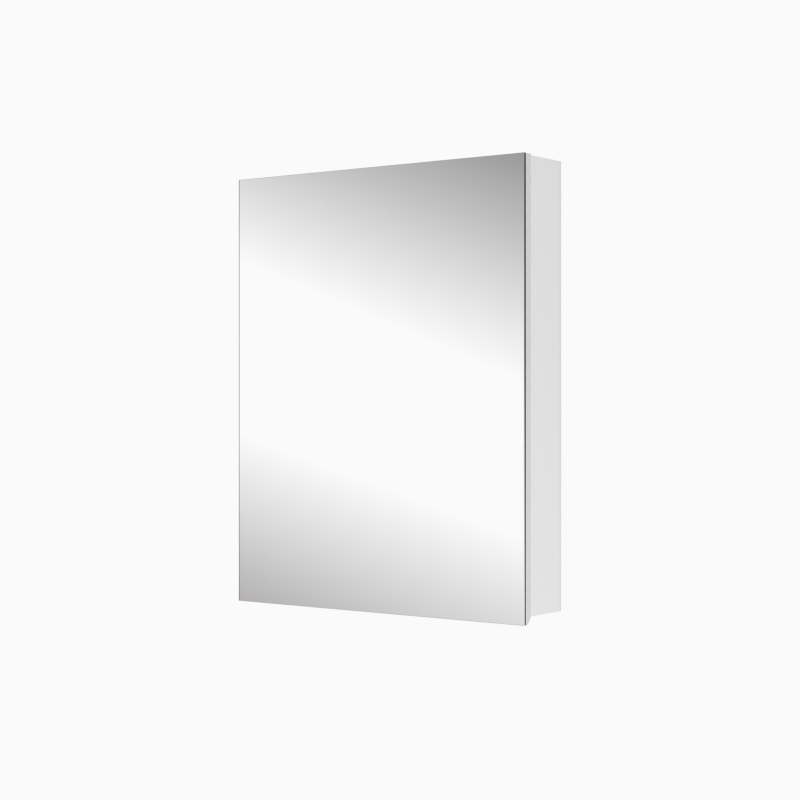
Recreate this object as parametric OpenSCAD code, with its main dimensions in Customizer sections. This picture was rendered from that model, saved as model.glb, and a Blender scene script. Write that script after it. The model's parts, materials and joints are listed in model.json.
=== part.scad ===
// Mirror cabinet for a bathroom wall, with one full-width mirrored door on two
// concealed hinges, glass shelves and a pair of adjustable hangers.
// +X is to the right, +Y towards the wall, +Z up. The wall is the plane y = 0,
// and the origin is the middle of the four screw holes in the wall plates.

/* [Door] */
// Thickness of the door board
door_t = 15; // [15:0.5:19]
// Thickness of the mirror glass
glass_t = 4; // [3:0.5:6]
// Width of the ground edge on the mirror's front
glass_arris = 0.5; // [0.4:0.1:1.5]
// Thickness of the mounting tape
tape_t = 1; // [0.6:0.1:1.6]
// Width of one strip of mounting tape
tape_w = 19; // [12:1:25]
// Number of tape strips behind the mirror
tape_count = 5; // [3:1:7]
// Distance from the door's edges to the tape
tape_inset = 14; // [8:1:40]
// Depth of the bevel under the door, from its back
grip_depth = 10; // [6:0.5:12]
// Height of the bevel under the door
grip_height = 11; // [6:0.5:16]
// Gap between the closed door and the carcass
door_gap = 1; // [0.8:0.1:1.4]
// How far the door stands above the carcass
door_rise = 2; // [1:0.5:4]
// How far the door stands below the carcass
door_drop = 12.5; // [11:0.5:18]
// How far the door stands out beyond each side panel
door_side_rise = 1; // [0.5:0.1:1.5]

/* [Carcass] */
// Width of the carcass
carcass_w = 598; // [398:1:798]
// Depth of the carcass, wall to front edge
carcass_d = 94; // [92:1:140]
// Height of the carcass
carcass_h = 735.5; // [690:0.5:890]
// Thickness of the side, top and bottom panels
panel_t = 15; // [15:0.5:18]
// Thickness of the edging on the front edges
edging_t = 0.5; // [0.4:0.1:1]
// Thickness of the back panel
back_t = 3; // [2.5:0.5:4]
// Space between the back panel and the wall
back_space = 12; // [11:0.5:14]
// Depth of the groove for the back panel
groove_d = 6; // [4:0.5:7]
// Width that the groove has more than the back panel
groove_play = 0.2; // [0.1:0.1:0.4]
// Height of the carcass above the middle of the wall screws
hang_drop = 75; // [72:1:90]

/* [Corner fittings] */
// Diameter of a cam lock's hole
cam_hole_d = 15; // [14:0.5:16]
// Depth of a cam lock's hole
cam_hole_depth = 12.5; // [12:0.1:13]
// Distance from the end of the panel to the middle of a cam
cam_inset = 24; // [22:1:34]
// Distance from the front edge to the front cam
cam_front = 22; // [16:1:26]
// Distance between the front and the back cam
cam_pitch = 40; // [38:1:44]
// Diameter of the plastic cap over a cam lock
cap_d = 17; // [16.5:0.5:19]
// Thickness of the plastic cap over a cam lock
cap_t = 0.8; // [0.6:0.1:0.9]
// Diameter of the hole for a cam bolt
bolt_hole_d = 8; // [7.5:0.1:8]
// Diameter of a cam bolt's head
bolt_head_d = 7; // [6.5:0.1:7.2]
// Diameter of a cam bolt's shank
bolt_d = 6; // [5.5:0.1:6.4]
// Diameter of a cam bolt's neck
bolt_neck_d = 3.6; // [3:0.1:4]
// Diameter of a cam bolt's threaded end
bolt_thread_d = 5; // [4.5:0.1:5.4]
// Length of a cam bolt's threaded end
bolt_thread_l = 11; // [8:0.5:12]
// Diameter of a dowel
dowel_d = 8; // [6:1:10]
// Depth of a dowel in the side panel
dowel_in_side = 10; // [8:0.5:12]
// Depth of a dowel in the top or bottom panel
dowel_in_panel = 20; // [16:1:24]
// Chamfer on a dowel's ends
dowel_chamfer = 1; // [0.5:0.1:1.5]

/* [Shelves] */
// Thickness of a glass shelf
shelf_t = 5; // [4:0.5:8]
// Depth of a glass shelf
shelf_d = 68; // [60:1:72]
// Width of the ground edges on a shelf's front and back
shelf_arris = 0.6; // [0.3:0.1:1]
// Gap between a shelf and the back panel
shelf_back_gap = 2; // [1:0.5:4]
// Gap between a shelf's end and the side panel
shelf_end_gap = 1.3; // [1.2:0.1:3]
// Underside of the upper shelf below the top panel
upper_shelf_drop = 235; // [200:1:260]
// Underside of the lower shelf below the upper shelf
lower_shelf_drop = 235; // [200:1:260]
// Diameter of a shelf pin's hole
pin_hole_d = 5; // [5:0.5:6]
// Depth of a shelf pin's hole
pin_hole_depth = 9; // [8:0.5:11]
// Spacing of the shelf pin holes
pin_pitch = 32; // [25:1:32]
// Spare holes above and below each shelf pin
pin_spares = 1; // [0:1:2]
// Distance from the front edge to the front row of pins
pin_front = 20; // [16:1:24]
// Distance between the front and the back row of pins
pin_row_pitch = 45; // [32:1:46]
// Diameter of a pin's peg under the shelf
peg_d = 6; // [5:0.5:8]
// Length of a pin's peg under the shelf
peg_l = 8; // [6:0.5:12]
// Diameter of a pin's collar
collar_d = 9; // [8:0.5:12]
// Thickness of a pin's collar
collar_t = 1; // [0.6:0.1:1.1]
// Wall of the clear sleeve on a peg
sleeve_t = 0.8; // [0.5:0.1:1.2]

/* [Hinges] */
// Distance from the carcass's end to the middle of a hinge
hinge_inset = 125; // [115:1:150]
// Diameter of the hinge cup
cup_d = 35; // [35:0.1:35.6]
// Depth of the hinge cup in the door
cup_depth = 12; // [11.8:0.1:12.6]
// Door material left between the cup and the edge
cup_edge = 5; // [4.8:0.1:5.2]
// Thickness of the cup's floor
cup_floor = 0.8; // [0.5:0.1:0.9]
// Radius round the cup's floor
cup_round = 1.2; // [0.6:0.1:1.4]
// Clearance round the cup in its bore
cup_play = 0.1; // [0.05:0.05:0.2]
// Thickness of the cup's flange
flange_t = 0.6; // [0.4:0.1:0.7]
// Width of the flange's wings
flange_w = 16; // [12:1:16]
// Length of the pocket's wide end, where the arm comes in
pocket_l = 11; // [10.5:0.5:12]
// Distance between the two cup screws
cup_screw_pitch = 48; // [45:1:52]
// Distance from the cup's middle to its line of screws
cup_screw_offset = 9.5; // [8:0.5:10]
// Distance from the front edge to the mounting plate's screws
plate_setback = 37; // [36:0.5:40]
// Distance between the two screws of a mounting plate
plate_screw_pitch = 32; // [30:1:40]
// Thickness of the mounting plate's wings
plate_t = 2.5; // [2:0.1:3]
// Width of the mounting plate's wings at their ends
plate_w = 15; // [12:1:18]
// Width of the mounting plate's wings at the saddle
plate_root_w = 20; // [19:1:24]
// Bevel on the ends of the mounting plate's saddle
saddle_bevel = 2.5; // [1:0.5:2.5]
// Diameter of the wood screws' shanks
screw_d = 3.5; // [3:0.1:4]
// Diameter of the wood screws' heads
screw_head_d = 7; // [6:0.5:8]
// Height of the wood screws' heads
screw_head_h = 1.8; // [1.2:0.1:2]
// Length of the wood screws' shanks
screw_l = 12; // [10:1:13]
// Length of the wood screws' points
screw_tip_l = 3; // [2:0.5:5]
// Steel thickness of the hinge arm
arm_steel = 1.4; // [1.2:0.1:1.5]
// Outside width of the hinge arm
arm_w = 15.6; // [15:0.1:16]
// Height of the hinge arm's back above the side panel
arm_rise = 13; // [12:0.1:13.4]
// Length of the hinge arm behind the carcass's front edge
arm_l = 58; // [57:1:62]
// Distance behind the front edge where the arm's back rises to its nose
arm_neck = 22; // [20:1:23]
// Distance behind the front edge where the arm's underside meets the plate
arm_toe = 14; // [12:1:16]
// Gap between the hinge arm's underside and the side panel
arm_lift = 3; // [2.6:0.1:3.4]
// Radius of the bend in the hinge arm's back
arm_bend_r = 8; // [4:0.5:8]
// Radius of the corners at the hinge arm's underside
arm_foot_r = 3; // [1:0.5:4]
// Radius of the hinge arm's nose round its pivots
arm_nose_r = 2; // [1.8:0.1:2.1]
// Distance between the two screws in the hinge arm's back
adjuster_pitch = 20; // [18:1:22]
// Diameter of the screws in the hinge arm's back
adjuster_d = 5; // [4:0.1:5.5]
// Diameter of the heads of the screws in the hinge arm's back
adjuster_head_d = 8; // [7:0.5:9]
// Steel thickness of a closing spring
spring_t = 0.7; // [0.5:0.1:0.8]
// Width of a closing spring
spring_w = 8; // [6:0.5:8]
// Bow of a closing spring
spring_bow = 2.5; // [1.5:0.1:3]
// Distance from the side panel to a closing spring's pin
spring_pin_in = 8; // [7:0.1:9]
// Distance of a closing spring's pin behind the carcass's front edge
spring_pin_back = 17.5; // [16:0.1:18.5]

/* [Hinge linkage] */
// Distance from the cup's far side to the long links' pivot in the arm
long_pivot_in = 5.3; // [5:0.1:5.6]
// Distance of the long links' pivot behind the carcass's front edge
long_pivot_back = 5.1; // [4.7:0.1:5.5]
// Distance from the cup's far side to the short links' pivot in the arm
short_pivot_in = 6.1; // [5.8:0.1:6.4]
// Distance of the short links' pivot in front of the carcass's front edge
short_pivot_front = 9.8; // [9.5:0.1:10]
// Distance from the cup's near side to the long links' pin
long_pin_in = 4.6; // [4.4:0.1:5]
// Depth of the long links' pin below the door's back
long_pin_depth = 3; // [2.9:0.1:3.3]
// Distance from the cup's near side to the short links' pin
short_pin_in = 8.1; // [7.9:0.1:8.5]
// Depth of the short links' pin below the door's back
short_pin_depth = 5.7; // [5.5:0.1:6]
// Bow of the long links, to reach round the door's edge
long_link_bow = 3.7; // [3.4:0.1:4]
// Width of a link between its eyes
link_w = 2; // [1.8:0.1:2.2]
// Radius of a link's eyes
link_eye_r = 1.9; // [1.7:0.1:2]
// Thickness of one plate of a long link
link_plate_t = 1.8; // [1.4:0.1:2]
// Depth of the flat on a long link's sleeve, where the spring bears
sleeve_flat = 0.2; // [0.1:0.05:0.25]
// Thickness of a short link
short_link_t = 7; // [6:0.1:7.4]
// Diameter of the linkage pins
link_pin_d = 1.8; // [1.6:0.1:2]
// Radial clearance of a linkage pin in a turning eye
link_play = 0.05; // [0.02:0.01:0.1]
// Radial clearance of the short links' pins in the cup
open_pivot_play = 1.1; // [1.05:0.05:1.2]
// Height of the cup's wide holes above those pins
open_pivot_shift = 0.55; // [0.5:0.05:0.6]

/* [Hangers] */
// Width of a hanger's case
hanger_w = 20; // [18:1:24]
// Depth of a hanger's case
hanger_d = 44; // [40:1:48]
// Height of a hanger's case
hanger_h = 48; // [44:1:50]
// Gap between a hanger's case and the top panel
hanger_top_gap = 3; // [2:0.5:5]
// Width of the bevel round a hanger's front
hanger_bevel = 2; // [1:0.5:3]
// Number of hollows in a hanger's open side
hanger_hollow_count = 3; // [2:1:4]
// Depth of the hollows in a hanger's side
hanger_hollow_d = 2; // [1:0.5:2.5]
// Width of the ribs between a hanger's hollows
hanger_rib_w = 3; // [2:0.5:4]
// Diameter of the pegs that hold a hanger's case
hanger_peg_d = 10; // [8:0.5:10]
// Length of the pegs that hold a hanger's case
hanger_peg_l = 10; // [8:0.5:12]
// Distance between the pegs that hold a hanger's case
hanger_peg_pitch = 24; // [20:1:26]
// Steel thickness of a hook
hook_t = 3; // [2.5:0.1:3.5]
// Height of a hook's arm
hook_h = 12; // [10:0.5:13]
// Length of a hook inside its case
hook_l = 26; // [22:1:28]
// Reach of a hook's tip down behind the wall plate's lip
hook_tip = 9; // [7:0.5:10]
// Clearance round a hook in its slot
hook_play = 0.2; // [0.2:0.05:0.4]
// Travel of a hook up and down in its case
hook_travel = 3; // [2:0.5:4]
// Diameter of the hanger's adjusting screws
hanger_screw_d = 4; // [3:0.1:5]
// Diameter of the hanger's adjusting screws' heads
hanger_screw_head_d = 7; // [6:0.5:8]
// Height of the hanger's height screw above the case's underside
height_screw_rise = 12; // [10:1:16]

/* [Wall plates] */
// Width of a wall plate
rail_w = 50; // [46:1:60]
// Steel thickness of a wall plate
rail_t = 2; // [1.5:0.1:2.5]
// Distance between the two screws in one wall plate
rail_screw_pitch = 24; // [20:1:26]
// Diameter of the screw holes in a wall plate
rail_hole_d = 5.5; // [4.5:0.1:6]
// Steel left beyond a wall plate's screw holes
rail_margin = 10; // [8:0.5:12]
// Radius of a wall plate's corners
rail_corner_r = 4; // [2:0.5:6]
// Distance of the lip's back from the wall
rail_offset = 5; // [4.5:0.1:6]
// Height of the lip's top above the middle of the screws
rail_lip_z = 38; // [37:0.5:40]
// Height of the lip above its bend
rail_lip_h = 11; // [10:0.5:12]
// Distance from the side panel to a wall plate's near edge
rail_inset = 3; // [2:0.5:5]

/* [Hidden] */
$fn = 48;
// Overrun of a cut past the surface that it opens
cut = 1;

// Carcass
side_out = carcass_w / 2;
side_in = side_out - panel_t;
front_y = -carcass_d;
top_z = hang_drop;
bottom_z = top_z - carcass_h;
inner_top = top_z - panel_t;
inner_bottom = bottom_z + panel_t;
back_front = -back_space - back_t;
back_end_play = 0.5;
cam_x = side_in - cam_inset;
cam_rows = [front_y + cam_front, front_y + cam_front + cam_pitch];
cam_play = 0.1;
cap_taper = 0.4;
cam_slot_w = 1.6;
cam_slot_l = 9;
cam_slot_d = 2.5;
dowel_y = front_y + cam_front + cam_pitch / 2;
bolt_head_l = 3;
bolt_neck_l = 4;

// Door
door_w = carcass_w + 2 * door_side_rise;
door_h = carcass_h + door_rise + door_drop;
door_edge = door_w / 2;
door_back = front_y - door_gap;
board_front = door_back - door_t;
mirror_back = board_front - tape_t;
mirror_front = mirror_back - glass_t;
door_top = top_z + door_rise;
door_bottom = door_top - door_h;
buffer_d = 8;
buffer_top_d = 7;
buffer_air = 0.3;
buffer_inset = 40;

// Shelves
upper_shelf_z = inner_top - upper_shelf_drop;
lower_shelf_z = upper_shelf_z - lower_shelf_drop;
shelf_zs = [upper_shelf_z, lower_shelf_z];
pin_drop = peg_d / 2 + sleeve_t;
pin_rows = [front_y + pin_front, front_y + pin_front + pin_row_pitch];

// Hinges
hinge_zs = [top_z - hinge_inset, bottom_z + hinge_inset];
cup_near = -door_edge + cup_edge;
cup_far = cup_near + cup_d;
cup_x = (cup_near + cup_far) / 2;
cup_screw_x = cup_x + cup_screw_offset;
cup_screw_zs = [-cup_screw_pitch / 2, cup_screw_pitch / 2];
plate_screw_y = front_y + plate_setback;
plate_screw_zs = [-plate_screw_pitch / 2, plate_screw_pitch / 2];
pilot_depth = 13;
saddle_front = 14;
saddle_back = 20;
adjuster_shift = 1;
arm_screw_ys = [adjuster_shift - adjuster_pitch / 2, adjuster_shift + adjuster_pitch / 2];
adjuster_head_h = 1.6;
adjuster_tip_l = 0.6;
screw_point_r = 0.3;
head_chamfer = 0.6;
drive_w = 1;
drive_l = 4.5;
drive_d = 1;
arm_inner_w = arm_w - 2 * arm_steel;
arm_fit = 0.1;
arm_web_back = 1.2;
pocket_play = 0.3;
pocket_w = arm_w + 2 * pocket_play;
link_pocket_w = arm_inner_w + 2 * pocket_play;
cup_wall = 0.5;
long_pivot = [cup_far - long_pivot_in, front_y + long_pivot_back];
short_pivot = [cup_far - short_pivot_in, front_y - short_pivot_front];
long_pin = [cup_near + long_pin_in, door_back - long_pin_depth];
short_pin = [cup_near + short_pin_in, door_back - short_pin_depth];
link_stack_w = arm_inner_w - 2 * pocket_play;
spring_pin = [-side_in + spring_pin_in, front_y + spring_pin_back];
spring_air = 0.3;
spring_roll_r = 0.8;
cup_pin_l = 20;

// Hangers and wall plates
hanger_top = inner_top - hanger_top_gap;
hanger_bottom = hanger_top - hanger_h;
hanger_front = back_front - hanger_d;
hook_x = side_in - hanger_w / 2;
hook_start = back_front - hook_l;
hook_end = -1.2;
hook_tip_play = 0.5;
hook_nose = 3;
hook_hole_w = 6;
hook_hole_margin = 4;
height_screw_z = hanger_bottom + height_screw_rise;
depth_screw_z = rail_lip_z + hook_h / 2;
hanger_screw_head_h = 2;
hanger_drive_w = 0.8;
hanger_drive_l = 4;
hanger_drive_d = 1;
hanger_peg_z = hanger_bottom + hanger_peg_d;
hanger_middle = back_front - hanger_d / 2;
hanger_pegs_y = [hanger_middle - hanger_peg_pitch / 2, hanger_middle + hanger_peg_pitch / 2];
rail_x = side_in - rail_inset - rail_w / 2;
rail_low = -rail_screw_pitch / 2 - rail_margin;
rail_bend = rail_lip_z - rail_lip_h;

// Helpers

// A vector's direction, with length 1
function unit(v) = v / norm(v);

// The arc that rounds an outline's corner p, on the way from a to b
function rounding(p, a, b, r, steps = 6) =
  let(
    u = unit(a - p),
    v = unit(b - p),
    half = acos(u * v) / 2,
    middle = p + unit(u + v) * r / sin(half),
    spoke = p + u * r / tan(half) - middle,
    turn = (cross(u, v) > 0 ? -1 : 1) * (180 - 2 * half)
  )
  [
    for (i = [0:steps])
      let(t = turn * i / steps)
        middle + [spoke.x * cos(t) - spoke.y * sin(t), spoke.x * sin(t) + spoke.y * cos(t)]
  ];

// An outline with each corner rounded by its own radius, or left sharp at 0
function rounded(points, radii) =
  let(n = len(points))
  [
    for (i = [0:n - 1])
      each radii[i] > 0
        ? rounding(points[i], points[(i + n - 1) % n], points[(i + 1) % n], radii[i])
        : [points[i]]
  ];

// A block between two opposite corners
module block(low, high) {
  translate(low)
    cube(high - low);
}

// A cylinder from a point towards +X
module rod_x(start, d, l) {
  translate(start)
    rotate([0, 90, 0])
      cylinder(d = d, h = l);
}

// A cylinder from a point towards +Y
module rod_y(start, d, l) {
  translate(start)
    rotate([-90, 0, 0])
      cylinder(d = d, h = l);
}

// A cylinder from a point towards +Z
module rod_z(start, d, l) {
  translate(start)
    cylinder(d = d, h = l);
}

// The child and its mirror image on the other side of x = 0
module both_sides() {
  for (side = [0, 1])
    mirror([side, 0, 0])
      children();
}

// A profile drawn in Y and Z, run along X from x0 for a length
module run_x(x0, l) {
  translate([x0, 0, 0])
    rotate([90, 0, 90])
      linear_extrude(l)
        children();
}

// A plan outline drawn in X and Y, run along Z about z = 0
module run_z(h) {
  translate([0, 0, -h / 2])
    linear_extrude(h)
      children();
}

// A pin along Z about z = 0, at a plan position
module pin_z(p, d, h) {
  translate([p.x, p.y, -h / 2])
    cylinder(d = d, h = h);
}

// A straight bar with square ends between two plan positions
module bar_2d(p, q, w) {
  d = q - p;
  translate(p)
    rotate(atan2(d.y, d.x))
      translate([0, -w / 2])
        square([norm(d), w]);
}

// The outline of a strip along an arc from p to q, bowed to the right of that way
function bowed_strip(p, q, bow, w, steps = 12) =
  let(
    chord = norm(q - p),
    aside = [(q - p).y, -(q - p).x] / chord,
    r = (chord * chord / 4 + bow * bow) / (2 * bow),
    half = asin(chord / 2 / r),
    centre = (p + q) / 2 + aside * (bow - r),
    middle = atan2(aside.y, aside.x)
  )
  [
    for (side = [1, -1], i = [-steps:2:steps])
      let(a = middle + side * half * i / steps)
        centre + (r + side * w / 2) * [cos(a), sin(a)]
  ];

// A bar along an arc from p to q, bowed to the right of that way
module bowed_bar(p, q, bow, w, h) {
  chord = norm(q - p);
  along = (q - p) / chord;
  aside = [along.y, -along.x];
  r = (chord * chord / 4 + bow * bow) / (2 * bow);
  half = asin(chord / 2 / r);
  centre = (p + q) / 2 + aside * (bow - r);
  translate([centre.x, centre.y, -h / 2])
    rotate(atan2(aside.y, aside.x) - half)
      rotate_extrude(angle = 2 * half, $fn = 180)
        translate([r - w / 2, 0])
          square([w, h]);
}

// Carcass panels

// Right side panel, with its groove and its holes
module side_panel() {
  difference() {
    block([side_in, front_y + edging_t, bottom_z], [side_out, 0, top_z]);
    block(
      [side_in - cut, back_front - groove_play / 2, bottom_z - cut],
      [side_in + groove_d, -back_space + groove_play / 2, top_z + cut]
    );
    for (shelf_z = shelf_zs, step = [-pin_spares:pin_spares], y = pin_rows)
      rod_x([side_in - cut, y, shelf_z - pin_drop + step * pin_pitch], pin_hole_d, pin_hole_depth + cut);
    for (z = [top_z - panel_t / 2, bottom_z + panel_t / 2]) {
      for (y = cam_rows)
        rod_x([side_in - cut, y, z], bolt_thread_d, bolt_thread_l + cut);
      rod_x([side_in - cut, dowel_y, z], dowel_d, dowel_in_side + cut);
    }
    for (y = hanger_pegs_y)
      rod_x([side_in - cut, y, hanger_peg_z], hanger_peg_d, hanger_peg_l + cut);
  }
}

module left_side() {
  color("white")
    difference() {
      mirror([1, 0, 0])
        side_panel();
      for (z = hinge_zs, dz = plate_screw_zs)
        rod_x([-side_in - pilot_depth, plate_screw_y, z + dz], screw_d, pilot_depth + cut);
    }
}

module right_side() {
  color("white")
    side_panel();
}

// Top panel with its outer face on z = 0
module cross_panel() {
  difference() {
    block([-side_in, front_y + edging_t, -panel_t], [side_in, 0, 0]);
    block(
      [-side_in - cut, back_front - groove_play / 2, -panel_t - cut],
      [side_in + cut, -back_space + groove_play / 2, -panel_t + groove_d]
    );
    both_sides() {
      for (y = cam_rows) {
        rod_z([cam_x, y, -cam_hole_depth], cam_hole_d, cam_hole_depth + cut);
        rod_x([cam_x, y, -panel_t / 2], bolt_hole_d, cam_inset + cut);
      }
      rod_x([side_in - dowel_in_panel, dowel_y, -panel_t / 2], dowel_d, dowel_in_panel + cut);
    }
  }
}

// The child on the top panel, and upside down on the bottom panel
module both_panels() {
  translate([0, 0, top_z])
    children();
  translate([0, 0, bottom_z])
    mirror([0, 0, 1])
      children();
}

module top_panel() {
  color("white")
    translate([0, 0, top_z])
      cross_panel();
}

module bottom_panel() {
  color("white")
    translate([0, 0, bottom_z])
      mirror([0, 0, 1])
        cross_panel();
}

module back_panel() {
  reach = side_in + groove_d - back_end_play;
  color("whitesmoke")
    difference() {
      block(
        [-reach, back_front, inner_bottom - groove_d + back_end_play],
        [reach, -back_space, inner_top + groove_d - back_end_play]
      );
      both_sides()
        block(
          [hook_x - hook_hole_w / 2, back_front - cut, rail_lip_z - hook_hole_margin],
          [hook_x + hook_hole_w / 2, -back_space + cut, rail_lip_z + hook_h + hook_hole_margin]
        );
    }
}

module front_edging() {
  color("white") {
    both_sides()
      block([side_in, front_y, bottom_z], [side_out, front_y + edging_t, top_z]);
    both_panels()
      block([-side_in, front_y, -panel_t], [side_in, front_y + edging_t, 0]);
  }
}

// Corner fittings

// One cam lock, its face just below z = 0
module cam_lock(y) {
  difference() {
    rod_z([cam_x, y, -cam_hole_depth], cam_hole_d - 2 * cam_play, cam_hole_depth - cam_play);
    rod_x([cam_x - bolt_head_l, y, -panel_t / 2], bolt_hole_d, cam_inset);
    translate([cam_x, y, -cam_slot_d / 2])
      for (turn = [0, 90])
        rotate(turn)
          cube([cam_slot_l, cam_slot_w, cam_slot_d], center = true);
  }
}

module cam_locks() {
  color("silver")
    both_panels()
      both_sides()
        for (y = cam_rows)
          cam_lock(y);
}

module cam_bolts() {
  head_x = cam_x - bolt_head_l / 2;
  neck_x = head_x + bolt_head_l;
  shank_x = neck_x + bolt_neck_l;
  color("silver")
    both_panels()
      both_sides()
        for (y = cam_rows) {
          rod_x([head_x, y, -panel_t / 2], bolt_head_d, bolt_head_l);
          rod_x([neck_x - cut, y, -panel_t / 2], bolt_neck_d, bolt_neck_l + 2 * cut);
          rod_x([shank_x, y, -panel_t / 2], bolt_d, side_in - shank_x);
          rod_x([side_in - cut, y, -panel_t / 2], bolt_thread_d, bolt_thread_l + cut);
        }
}

module cam_caps() {
  color("white")
    both_panels()
      both_sides()
        for (y = cam_rows)
          translate([cam_x, y, 0])
            cylinder(d1 = cap_d, d2 = cap_d - 2 * cap_taper, h = cap_t);
}

module dowels() {
  r = dowel_d / 2;
  l = dowel_in_panel + dowel_in_side;
  color("burlywood")
    both_panels()
      both_sides()
        translate([side_in - dowel_in_panel, dowel_y, -panel_t / 2])
          rotate([0, 90, 0])
            rotate_extrude()
              polygon([
                [0, 0],
                [r - dowel_chamfer, 0],
                [r, dowel_chamfer],
                [r, l - dowel_chamfer],
                [r - dowel_chamfer, l],
                [0, l]
              ]);
}

// Shelves

// Glass shelf, its front and back edges ground
module shelf(z) {
  end = side_in - shelf_end_gap;
  back = back_front - shelf_back_gap;
  front = back - shelf_d;
  a = shelf_arris;
  color("lightcyan", 0.5)
    run_x(-end, 2 * end)
      polygon([
        [front + a, z],
        [back - a, z],
        [back, z + a],
        [back, z + shelf_t - a],
        [back - a, z + shelf_t],
        [front + a, z + shelf_t],
        [front, z + shelf_t - a],
        [front, z + a]
      ]);
}

module upper_shelf() {
  shelf(upper_shelf_z);
}

module lower_shelf() {
  shelf(lower_shelf_z);
}

module shelf_pins() {
  color("silver")
    both_sides()
      for (z = shelf_zs, y = pin_rows) {
        rod_x([side_in, y, z - pin_drop], pin_hole_d, pin_hole_depth);
        rod_x([side_in - collar_t, y, z - pin_drop], collar_d, collar_t);
        rod_x([side_in - collar_t - peg_l, y, z - pin_drop], peg_d, peg_l + collar_t);
      }
}

module shelf_pin_sleeves() {
  start = side_in - collar_t - peg_l;
  color("whitesmoke", 0.6)
    both_sides()
      for (z = shelf_zs, y = pin_rows)
        difference() {
          rod_x([start, y, z - pin_drop], peg_d + 2 * sleeve_t, peg_l);
          rod_x([start - cut, y, z - pin_drop], peg_d, peg_l + 2 * cut);
        }
}

// Hangers and wall plates

// Moulded case with the slot of its hook, and ribs between the hollows in its open side
module hanger_case() {
  inner_x = side_in - hanger_w;
  hollow_h = (hanger_h - (hanger_hollow_count + 1) * hanger_rib_w) / hanger_hollow_count;
  front = [
    [hanger_front + hanger_bevel, hanger_bottom],
    [back_front, hanger_bottom],
    [back_front, hanger_top],
    [hanger_front + hanger_bevel, hanger_top],
    [hanger_front, hanger_top - hanger_bevel],
    [hanger_front, hanger_bottom + hanger_bevel]
  ];
  difference() {
    union() {
      run_x(inner_x, hanger_w)
        polygon(front);
      for (y = hanger_pegs_y)
        rod_x([side_in - cut, y, hanger_peg_z], hanger_peg_d, hanger_peg_l + cut);
    }
    block(
      [hook_x - hook_t / 2 - hook_play, hook_start - hook_travel, rail_lip_z - hook_travel],
      [hook_x + hook_t / 2 + hook_play, back_front + cut, rail_lip_z + hook_h + hook_travel]
    );
    for (z = [height_screw_z, depth_screw_z]) {
      rod_y([hook_x, hanger_front - cut, z], hanger_screw_d, hook_start - hanger_front + cut);
      rod_y([hook_x, hanger_front - cut, z], hanger_screw_head_d, hanger_screw_head_h + cut);
    }
    for (i = [0:hanger_hollow_count - 1]) {
      low = hanger_bottom + hanger_rib_w + i * (hollow_h + hanger_rib_w);
      block(
        [inner_x - cut, hanger_front + hanger_bevel + hanger_rib_w, low],
        [inner_x + hanger_hollow_d, back_front - hanger_rib_w, low + hollow_h]
      );
    }
  }
}

module right_hanger_case() {
  color("white")
    hanger_case();
}

module left_hanger_case() {
  color("white")
    mirror([1, 0, 0])
      hanger_case();
}

// A hook that hangs on the lip of its wall plate
module hanger_hook() {
  top = rail_lip_z + hook_h;
  tip_front = -rail_offset + hook_tip_play;
  color("silver")
    run_x(hook_x - hook_t / 2, hook_t)
      polygon([
        [hook_start, rail_lip_z],
        [tip_front, rail_lip_z],
        [tip_front, rail_lip_z - hook_tip],
        [hook_end, rail_lip_z - hook_tip],
        [hook_end, top - hook_nose],
        [hook_end - hook_nose, top],
        [hook_start, top]
      ]);
}

module right_hanger_hook() {
  hanger_hook();
}

module left_hanger_hook() {
  mirror([1, 0, 0])
    hanger_hook();
}

module hanger_screws() {
  color("gray")
    both_sides()
      for (z = [height_screw_z, depth_screw_z])
        difference() {
          union() {
            rod_y([hook_x, hanger_front, z], hanger_screw_head_d, hanger_screw_head_h);
            rod_y([hook_x, hanger_front, z], hanger_screw_d, hook_start - hanger_front);
          }
          translate([hook_x, hanger_front, z])
            for (turn = [0, 90])
              rotate([0, turn, 0])
                cube([hanger_drive_l, 2 * hanger_drive_d, hanger_drive_w], center = true);
        }
}

// A wall plate with its lip bent forward, so that a hook drops in behind it
module wall_plate() {
  bend = rail_t * tan(22.5);
  bend_low = rail_bend - rail_offset;
  low = [rail_x - rail_w / 2, rail_low];
  high = [rail_x + rail_w / 2, rail_lip_z];
  corners = [low, [high.x, low.y], high, [low.x, high.y]];
  difference() {
    intersection() {
      run_x(low.x, rail_w)
        polygon([
          [0, low.y],
          [0, bend_low],
          [-rail_offset, rail_bend],
          [-rail_offset, high.y],
          [-rail_offset - rail_t, high.y],
          [-rail_offset - rail_t, rail_bend - bend],
          [-rail_t, bend_low - bend],
          [-rail_t, low.y]
        ]);
      translate([0, cut, 0])
        rotate([90, 0, 0])
          linear_extrude(rail_offset + rail_t + 2 * cut)
            polygon(rounded(corners, [for (corner = corners) rail_corner_r]));
    }
    for (z = [-rail_screw_pitch / 2, rail_screw_pitch / 2])
      rod_y([rail_x, -rail_t - cut, z], rail_hole_d, rail_t + 2 * cut);
  }
}

module right_wall_plate() {
  color("silver")
    wall_plate();
}

module left_wall_plate() {
  color("silver")
    mirror([1, 0, 0])
      wall_plate();
}

// Door

// Buffers on the carcass's front edge, tapered towards the door
module door_buffers() {
  middle = side_out - panel_t / 2;
  color("whitesmoke", 0.6)
    for (z = [top_z - buffer_inset, bottom_z + buffer_inset])
      translate([middle, front_y, z])
        rotate([90, 0, 0])
          cylinder(d1 = buffer_d, d2 = buffer_top_d, h = door_gap - buffer_air);
}

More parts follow.
